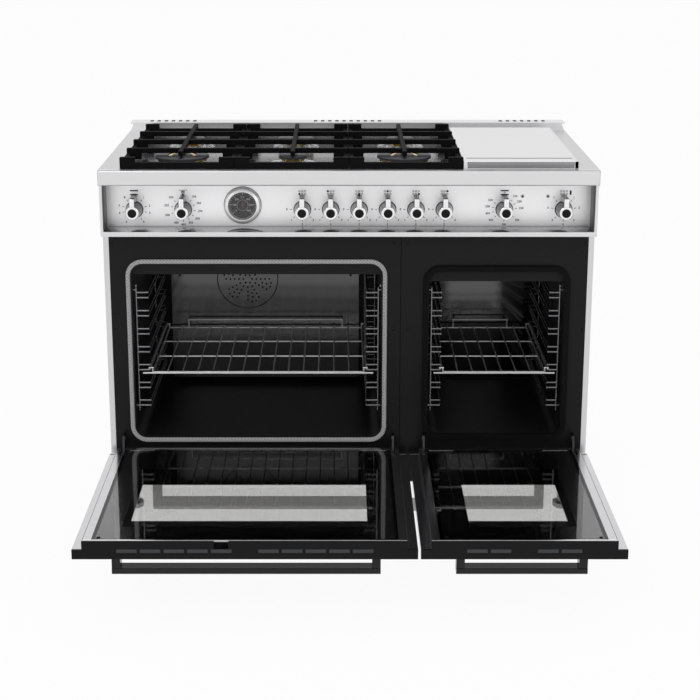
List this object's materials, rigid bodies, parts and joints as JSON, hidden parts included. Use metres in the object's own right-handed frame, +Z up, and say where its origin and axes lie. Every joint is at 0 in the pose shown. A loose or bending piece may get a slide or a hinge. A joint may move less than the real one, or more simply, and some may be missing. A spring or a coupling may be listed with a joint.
{
  "type": "gas range",
  "caption": "Wide free-standing gas range with cast grates, covered griddle, knobs on a sunk panel and two ovens whose drop doors stand open.",
  "frame": {"origin": "on the floor, under the middle of the range's box with both doors open", "axes": "+Z up, +Y towards the wall behind the range, +X to the right as one faces it"},
  "size_m": [1.214, 1.196, 0.9425],
  "materials": {
    "brushed_stainless": "satin brushed",
    "plain_sheet": "galvanised",
    "dark_trim": "satin",
    "black_enamel": "gloss enamel",
    "wire": "bright wire",
    "grate_iron": "matte enamel",
    "cap_iron": "matte",
    "burner_brass": "machined",
    "bowl_alloy": "polished",
    "knob_metal": "satin plated",
    "griddle_steel": "ground",
    "leg_steel": "plated",
    "gas_pipe": "plain",
    "motor_steel": "plain",
    "fan_steel": "plain",
    "door_glass": "clear with a dark border",
    "gauge_glass": "clear",
    "dial_face": "matte",
    "needle_paint": "matte",
    "braided_seal": "braided fibre",
    "moulded_seal": "silicone",
    "lamp_red": "clear moulded"
  },
  "bodies": {
    "casing": {"base_tray": "plain_sheet", "burner_bases": "bowl_alloy", "burner_rings": "burner_brass", "control_frame": "brushed_stainless", "control_panel": "brushed_stainless", "cooktop": "brushed_stainless", "fan_cover": "black_enamel", "fan_motor": "motor_steel", "front_rail": "brushed_stainless", "gas_manifold": "gas_pipe", "gas_valves": "burner_brass", "gauge_bezel": "knob_metal", "gauge_dial": "dial_face", "gauge_lens": "gauge_glass", "griddle_plate": "griddle_steel", "indicator_lamps": "lamp_red", "kick_plate": "dark_trim", "knob_collars": "knob_metal", "main_door_hinges": "leg_steel", "main_oven_gasket": "braided_seal", "main_oven_liner": "black_enamel", "power_burner_caps": "cap_iron", "rack_guides": "wire", "rapid_burner_cap": "cap_iron", "rear_panel": "plain_sheet", "rear_trim": "brushed_stainless", "side_panels": "brushed_stainless", "small_burner_caps": "cap_iron", "small_door_hinges": "leg_steel", "small_oven_gasket": "moulded_seal", "small_oven_liner": "black_enamel"},
    "main_door": {"main_door_skin": "brushed_stainless", "main_door_inner_frame": "brushed_stainless", "main_door_glass": "door_glass", "main_door_top_trim": "dark_trim", "main_door_handle": "dark_trim"},
    "small_door": {"small_door_skin": "brushed_stainless", "small_door_inner_frame": "brushed_stainless", "small_door_glass": "door_glass", "small_door_top_trim": "dark_trim", "small_door_handle": "dark_trim"},
    "main_rack": {"main_oven_rack": "wire"},
    "small_rack": {"small_oven_rack": "wire"},
    "needle": {"gauge_needle": "needle_paint"},
    "fan": {"fan_wheel": "fan_steel"},
    "grate_left": {"left_grate": "grate_iron"},
    "grate_middle": {"middle_grate": "grate_iron"},
    "grate_right": {"right_grate": "grate_iron"},
    "lid": {"griddle_lid": "brushed_stainless"},
    "legs": {"levelling_legs": "leg_steel"},
    "oven_mode_control": {"oven_mode_knob": "knob_metal"},
    "oven_temperature_control": {"oven_temperature_knob": "knob_metal"},
    "left_front_burner_control": {"left_front_burner_knob": "knob_metal"},
    "left_rear_burner_control": {"left_rear_burner_knob": "knob_metal"},
    "middle_front_burner_control": {"middle_front_burner_knob": "knob_metal"},
    "middle_rear_burner_control": {"middle_rear_burner_knob": "knob_metal"},
    "right_front_burner_control": {"right_front_burner_knob": "knob_metal"},
    "right_rear_burner_control": {"right_rear_burner_knob": "knob_metal"},
    "small_oven_control": {"small_oven_knob": "knob_metal"},
    "griddle_control": {"griddle_knob": "knob_metal"}
  },
  "joints": [
    {"name": "main_door_swing", "type": "hinge", "parent": "casing", "child": "main_door", "pos_m": [0, -0.0375, 0.175], "axis": [-1, 0, 0], "range_deg": [0, 90]},
    {"name": "small_door_swing", "type": "hinge", "parent": "casing", "child": "small_door", "pos_m": [0, -0.0375, 0.175], "axis": [-1, 0, 0], "range_deg": [0, 90]},
    {"name": "main_rack_slide", "type": "slide", "parent": "casing", "child": "main_rack", "axis": [0, 1, 0], "range_m": [-0.35, 0]},
    {"name": "small_rack_slide", "type": "slide", "parent": "casing", "child": "small_rack", "axis": [0, 1, 0], "range_m": [-0.35, 0]},
    {"name": "gauge_needle_turn", "type": "hinge", "parent": "casing", "child": "needle", "pos_m": [-0.263, 0.026, 0.8115], "axis": [0, 1, 0], "range_deg": [-135, 135]},
    {"name": "fan_spin", "type": "hinge", "parent": "casing", "child": "fan", "pos_m": [-0.278, 0.443, 0.518], "axis": [0, 1, 0], "continuous": true},
    {"name": "levelling_screw", "type": "slide", "parent": "casing", "child": "legs", "axis": [0, 0, -1], "range_m": [0, 0.025]},
    {"name": "griddle_lid_lift", "type": "slide", "parent": "casing", "child": "lid", "axis": [0, 0, 1], "range_m": [0, 0.15]},
    {"name": "left_grate_lift", "type": "slide", "parent": "casing", "child": "grate_left", "axis": [0, 0, 1], "range_m": [0, 0.15]},
    {"name": "middle_grate_lift", "type": "slide", "parent": "casing", "child": "grate_middle", "axis": [0, 0, 1], "range_m": [0, 0.15]},
    {"name": "right_grate_lift", "type": "slide", "parent": "casing", "child": "grate_right", "axis": [0, 0, 1], "range_m": [0, 0.15]},
    {"name": "oven_mode_turn", "type": "hinge", "parent": "casing", "child": "oven_mode_control", "pos_m": [-0.5313, 0.008, 0.8006], "axis": [0, -1, 0], "range_deg": [-315, 0]},
    {"name": "oven_temperature_turn", "type": "hinge", "parent": "casing", "child": "oven_temperature_control", "pos_m": [-0.4105, 0.008, 0.8006], "axis": [0, -1, 0], "range_deg": [-300, 0]},
    {"name": "left_front_burner_turn", "type": "hinge", "parent": "casing", "child": "left_front_burner_control", "pos_m": [-0.115, 0.008, 0.8006], "axis": [0, -1, 0], "range_deg": [0, 270]},
    {"name": "left_rear_burner_turn", "type": "hinge", "parent": "casing", "child": "left_rear_burner_control", "pos_m": [-0.0445, 0.008, 0.8006], "axis": [0, -1, 0], "range_deg": [0, 270]},
    {"name": "middle_front_burner_turn", "type": "hinge", "parent": "casing", "child": "middle_front_burner_control", "pos_m": [0.026, 0.008, 0.8006], "axis": [0, -1, 0], "range_deg": [0, 270]},
    {"name": "middle_rear_burner_turn", "type": "hinge", "parent": "casing", "child": "middle_rear_burner_control", "pos_m": [0.0965, 0.008, 0.8006], "axis": [0, -1, 0], "range_deg": [0, 270]},
    {"name": "right_front_burner_turn", "type": "hinge", "parent": "casing", "child": "right_front_burner_control", "pos_m": [0.167, 0.008, 0.8006], "axis": [0, -1, 0], "range_deg": [0, 270]},
    {"name": "right_rear_burner_turn", "type": "hinge", "parent": "casing", "child": "right_rear_burner_control", "pos_m": [0.2375, 0.008, 0.8006], "axis": [0, -1, 0], "range_deg": [0, 270]},
    {"name": "small_oven_turn", "type": "hinge", "parent": "casing", "child": "small_oven_control", "pos_m": [0.3862, 0.008, 0.8006], "axis": [0, -1, 0], "range_deg": [-300, 0]},
    {"name": "griddle_turn", "type": "hinge", "parent": "casing", "child": "griddle_control", "pos_m": [0.5333, 0.008, 0.8006], "axis": [0, -1, 0], "range_deg": [-300, 0]}
  ]
}
